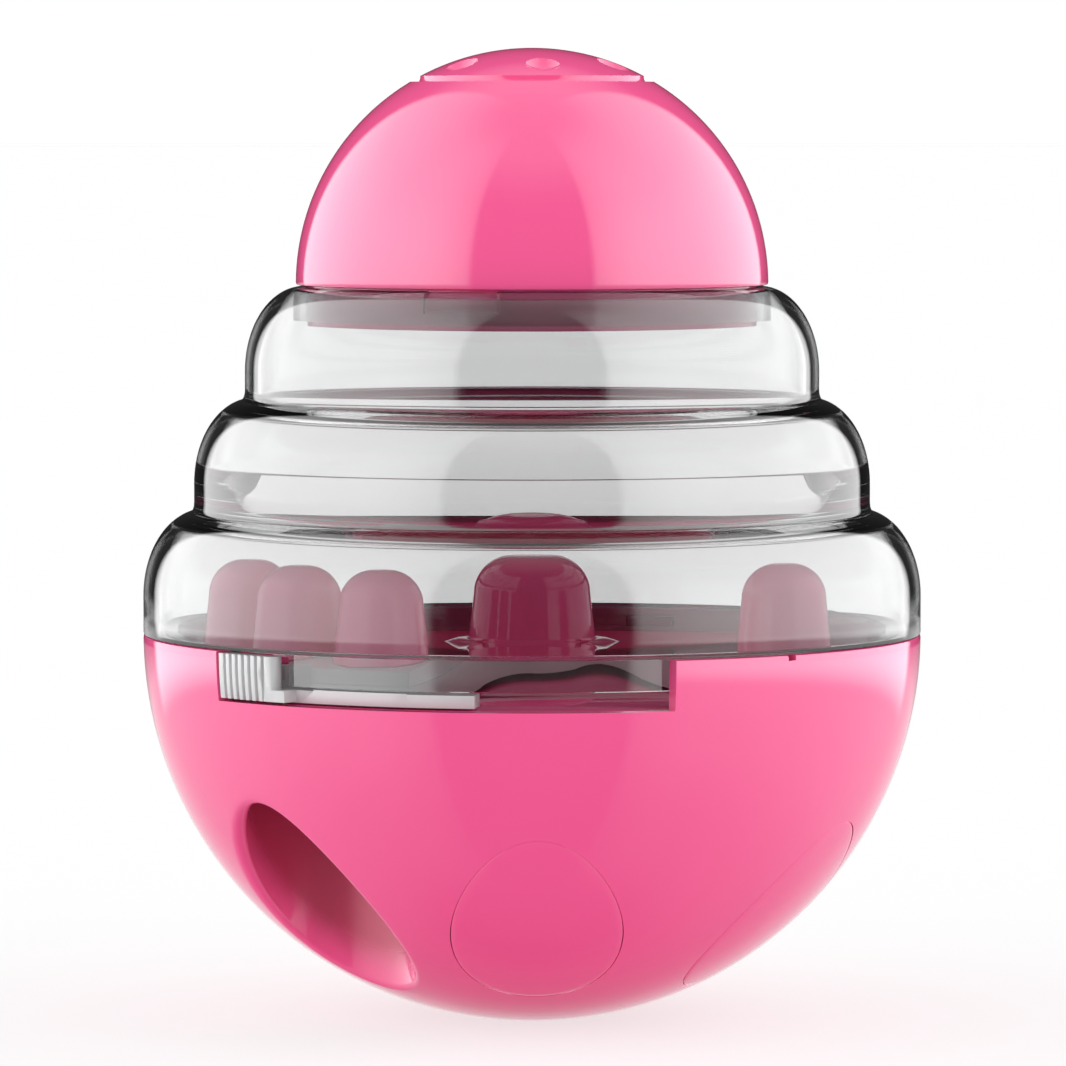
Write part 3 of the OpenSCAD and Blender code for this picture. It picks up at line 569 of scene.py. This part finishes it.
def shellPiece():
    # the ridge and the foot are drawn for the light that they bend, and differ a little from the solid's
    size = {"inset": 6.55, "tier": 14.4, "first": 15.8, "reach": 7.45, "height": 10.85, "start": 14,
            "crease": 1.6, "wall": 2.0, "top": 2.3, "drop": 0.6, "ridge": 3.0, "ridgeBend": 1.5,
            "ridgeTop": 21.3, "tip": 0.9, "turn": 6, "neck": 29.2, "neckEdge": 0.1, "sleeve": 30.7,
            "sleeveLong": 4.6, "neckTop": 44.6, "low": 2.5, "seam": 0.1, "seamRound": 0.2, "skirt": 47.4,
            "skirtInner": 45.8, "skirtEnd": -4.0, "footHigh": 0.8, "footThick": 0.6, "footIn": 0.25,
            "footRound": 0.3, "window": (-52.5, -39.4), "windowFrom": 43.0, "windowLow": -9.0,
            "keysAt": (-17, 103, 223), "keySlot": (3.2, 9.4, 12.0), "keyMiddle": (28.6, 0, 47.3),
            "lugFrom": 46.2, "lugOut": 48.3, "lugLow": -2.9, "lugHigh": -1.4, "lugSpan": 8}
    radius, seam, seamRound = ball["radius"], size["seam"], size["seamRound"]
    skirt, skirtInner = size["skirt"], size["skirtInner"]
    footThick, footRound = size["footThick"], size["footRound"]
    insideHeight = size["height"] - size["drop"]

    def outsideTier(k):
        outer = radius - k * size["inset"]
        above = outer - size["inset"]
        curve = shoulder(outer, size["first"] + k * size["tier"], size["reach"], size["height"],
                         size["start"])
        return softBend((above, curve[0][1] + size["crease"]), (above, curve[0][1]), curve[0]) + curve

    def insideTier(k):
        outer = radius - k * size["inset"] - size["wall"]
        above, top = outer - size["inset"], size["first"] + k * size["tier"]
        under, tip = top - size["top"], size["tip"]
        start = math.degrees(math.acos((size["height"] - size["top"]) / insideHeight)) + size["turn"]
        curve = shoulder(outer, top - size["drop"], size["reach"], insideHeight, start)
        curve = [spot for spot in curve if k == 0 or spot[1] > size["ridgeTop"]]
        ridge = above - (0 if k else size["ridge"])
        slope = 0 if k else size["ridge"] / (size["ridgeTop"] - under)
        bend = curve[0][0] - size["ridgeBend"]
        return (softBend((ridge + tip * slope, under + tip), (ridge, under), (ridge + tip / 3, under), 5)
                + softBend((bend, under), ((bend + curve[0][0]) / 2, under), curve[0]) + curve)

    def topTier(start, wall, drop):
        outer = radius - 2 * size["inset"] - wall
        fromAngle = math.degrees(math.asin((start - outer + size["reach"]) / size["reach"]))
        return shoulder(outer, size["neckTop"] - drop, size["reach"], size["height"] - drop, fromAngle)

    outside = [(size["neck"], size["neckTop"])] + topTier(size["neck"] + size["neckEdge"], 0, 0)
    outside += outsideTier(1) + outsideTier(0)
    outside += [(radius, size["low"]), (radius, seam + seamRound),
                (radius - 0.3 * seamRound, seam + 0.3 * seamRound), (radius - seamRound, seam),
                (skirt, seam), (skirt, size["skirtEnd"]), (skirtInner, size["skirtEnd"])]
    sleeveEnd = size["neckTop"] - size["sleeveLong"]
    foot = radius - size["wall"]
    inside = [(size["neck"], sleeveEnd), (size["sleeve"], sleeveEnd)]
    inside += topTier(size["sleeve"], size["wall"], size["drop"]) + insideTier(1) + insideTier(0)
    inside += softBend((foot, size["footHigh"]), (foot, footThick), (foot - size["footIn"], footThick), 5)
    inside += softBend((skirtInner + footRound, footThick), (skirtInner, footThick),
                       (skirtInner, footThick - footRound), 5)
    shell = piece(spun(outside + inside[::-1], 256))

    cuts = [wedge(size["windowFrom"], boreRadius, size["windowLow"], -seam, size["window"])]
    cuts += [block(size["keySlot"], size["keyMiddle"], azimuth) for azimuth in size["keysAt"]]
    carve(shell, [together(cuts)])
    lugs = [wedge(size["lugFrom"], size["lugOut"], size["lugLow"], size["lugHigh"],
                  (azimuth, azimuth + size["lugSpan"]), 8) for azimuth in ball["lugsAt"]]
    return carve(shell, [together(lugs)], "UNION")


settle(shellPiece(), "chamberWall", "shell_body", ["clear_shell"], clear, sharp=40)


# dome

def domePiece():
    size = {"radius": 30.35, "wall": 2.0, "base": 44.8, "edge": 0.3, "sideFrom": 0.6, "poleTo": 88.8,
            "groove": 15.0, "grooveWide": 0.75, "grooveDeep": 0.6, "grooveShape": 0.8,
            "dimples": 6, "dimpleAt": 11.2, "dimple": 2.3, "dimpleDeep": 0.9, "first": 7}
    radius, base, edge = size["radius"], size["base"], size["edge"]
    grooveAngle = math.degrees(math.acos(size["groove"] / radius))
    half = math.degrees(size["grooveWide"] / radius)
    low, high = grooveAngle - half, grooveAngle + half
    # a degree apart up the side, closer across the groove, and up to the pole
    angles = [size["sideFrom"] + i for i in range(int(low - 1))]
    angles += [low + 2 * half * i / 14 for i in range(15)]
    angles += [high + 1 + (size["poleTo"] - high) * i / 30 for i in range(30)]
    outer = [(radius - edge, base), (radius - 0.3 * edge, base + 0.3 * edge)]
    for angle in angles:
        off = min(1.0, abs(angle - grooveAngle) / half)
        sunk = radius - size["grooveDeep"] * (1 - off * off) ** size["grooveShape"]
        outer.append((sunk * math.cos(math.radians(angle)), base + sunk * math.sin(math.radians(angle))))
    inner = arc((0, base), radius - size["wall"], 90, 0, 60)
    dome = piece(spun(outer + [(0, base + radius), (0, base + radius - size["wall"])] + inner[1:]))
    dimpleBall = (size["dimple"] ** 2 + size["dimpleDeep"] ** 2) / (2 * size["dimpleDeep"])
    tilt = math.asin(size["dimpleAt"] / radius)
    reach = radius - size["dimpleDeep"] + dimpleBall
    cuts = []
    for k in range(size["dimples"]):
        spot = turned(size["first"] + 360 * k / size["dimples"], reach * math.sin(tilt))
        spot.z = base + reach * math.cos(tilt)
        bm = bmesh.new()
        bmesh.ops.create_icosphere(bm, subdivisions=5, radius=dimpleBall)
        bmesh.ops.translate(bm, verts=bm.verts, vec=spot)
        cuts.append(piece(bm))
    return carve(dome, [together(cuts)])


settle(domePiece(), "domeCap", "cap_body", ["dome_cap"], pink)


# pegs and hub cap

def bluntOutline(foot, top, height, blend, edge=0.2):
    side = [(0, 0), (foot - edge, 0), (foot, edge)]
    return side + arc((top - blend, height - blend), blend, 0, 90, 24) + [(0, height)]


pegSize = {"foot": 6.0, "top": 5.2, "height": 11.8, "blend": 4.2, "low": -1.8, "reach": 37.6,
           "at": (-70.5, -50, -29.5, 56.5)}
for i, azimuth in enumerate(pegSize["at"], 1):
    outline = bluntOutline(pegSize["foot"], pegSize["top"], pegSize["height"], pegSize["blend"])
    centre = turned(azimuth, pegSize["reach"]) + Vector((0, 0, pegSize["low"]))
    settle(piece(spun(outline, 96, centre)), "roundPeg%d" % i, "shutter_body",
           ["peg_%d" % i], pink)


def hubPiece():
    size = {"foot": 8.2, "top": 7.5, "height": 13.3, "blend": 4.6, "low": -3.3, "collar": 11.8,
            "thick": 1.9, "slopeDrop": 0.9, "slopeBreak": 0.15, "slopeLong": 2.2, "cove": 0.3, "coveIn": 0.02,
            "slotsAt": (45, 135, 225, 315), "slot": (6.0, 1.0, 8.0), "slotOut": 3.0}
    foot, collar, thick = size["foot"], size["collar"], size["thick"]
    edgeHeight = thick - size["slopeDrop"]
    # the collar's top slopes down to its edge, and the cap's side stands on it
    outline = [(0, 0), (collar, 0), (collar, edgeHeight),
               (collar - size["slopeBreak"], edgeHeight + size["slopeBreak"]),
               (collar - size["slopeLong"], thick), (foot + size["cove"], thick),
               (foot - size["coveIn"], thick + size["cove"])]
    outline += bluntOutline(foot, size["top"], size["height"], size["blend"])[3:]
    hub = piece(spun(outline, 128, (0, 0, size["low"])))
    middle = (foot + size["slotOut"], 0, size["low"])
    return carve(hub, [together([block(size["slot"], middle, azimuth) for azimuth in size["slotsAt"]])])


settle(hubPiece(), "hubCap", "bowl_body", ["hub_cap"], pink)


# shutter, cap ring and floor plate: merged copies of the solids with softly broken edges

def softened(nodeName, width):
    size = {"merge": 0.002, "flat": 0.6, "sharp": 35, "segments": 2}
    source = frame["nodes"][nodeName]
    bm = bmesh.new()
    bm.from_mesh(source.data)
    bmesh.ops.transform(bm, matrix=toMetres.inverted() @ source.matrix_world, verts=bm.verts)
    bmesh.ops.remove_doubles(bm, verts=bm.verts, dist=size["merge"])
    bmesh.ops.dissolve_limit(bm, angle_limit=math.radians(size["flat"]), verts=bm.verts, edges=bm.edges)
    bmesh.ops.recalc_face_normals(bm, faces=bm.faces)
    sharp = math.radians(size["sharp"])
    edges = [edge for edge in bm.edges if edge.is_manifold and edge.calc_face_angle(0) > sharp]
    bmesh.ops.bevel(bm, geom=edges, offset=width, affect="EDGES", segments=size["segments"], profile=0.5,
                    material=-1, clamp_overlap=True)
    return piece(bm)


def tabCutters():
    size = {"face": 49.85, "sideAt": -31.0, "roll": 1.2, "rollSteps": 12, "low": -4.44, "high": 1.0,
            "backAt": -33.0, "clearOf": -27.0, "frontAt": -44.0, "beyond": 1.04,
            "grooveAt": -42.05, "grooveDeep": 0.5, "grooveWide": 0.55, "grooveLow": -7.0, "grooveTo": 52.0}
    # the tab's front edge is rolled, and its side runs straight back
    face, roll, side = size["face"], size["roll"], size["sideAt"]
    middle = Vector((side - roll, 0, 0))
    middle.y = -math.sqrt((face - roll) ** 2 - middle.x ** 2)
    start = math.atan2(middle.y, middle.x)
    angles = [start * (1 - i / size["rollSteps"]) for i in range(size["rollSteps"] + 1)]
    rolled = [middle + roll * Vector((math.cos(a), math.sin(a), 0)) for a in angles]
    corners = ((side, size["backAt"]), (size["clearOf"], size["backAt"]), (size["clearOf"], size["frontAt"]))
    edgeTrim = [rolled[0] * size["beyond"]] + rolled + [Vector((x, y, 0)) for x, y in corners]
    near, far = (turned(size["grooveAt"], reach) for reach in (face - size["grooveDeep"], size["grooveTo"]))
    across = turned(size["grooveAt"] + 90, size["grooveWide"] / 2)
    groove = [near - across, near + across, far + across, far - across]
    made = []
    for points, low in ((edgeTrim, size["low"]), (groove, size["grooveLow"])):
        bm = bmesh.new()
        outline = bm.faces.new([bm.verts.new((p.x, p.y, low)) for p in points])
        grown = bmesh.ops.extrude_face_region(bm, geom=[outline])
        bmesh.ops.translate(bm, verts=[v for v in grown["geom"] if isinstance(v, bmesh.types.BMVert)],
                            vec=(0, 0, size["high"] - low))
        bmesh.ops.recalc_face_normals(bm, faces=bm.faces)
        made.append(piece(bm))
    return made


shutter = carve(softened("shutter", 0.12), [together(tabCutters())])
settle(shutter, "turningShutter", "shutter_body", ["shutter"], grey)
settle(softened("dome_ring", 0.15), "capRing", "cap_body", ["dome_ring"], pink)
settle(softened("floor_plate", 0.15), "chamberFloor", "bowl_body", ["floor_plate"], pink)
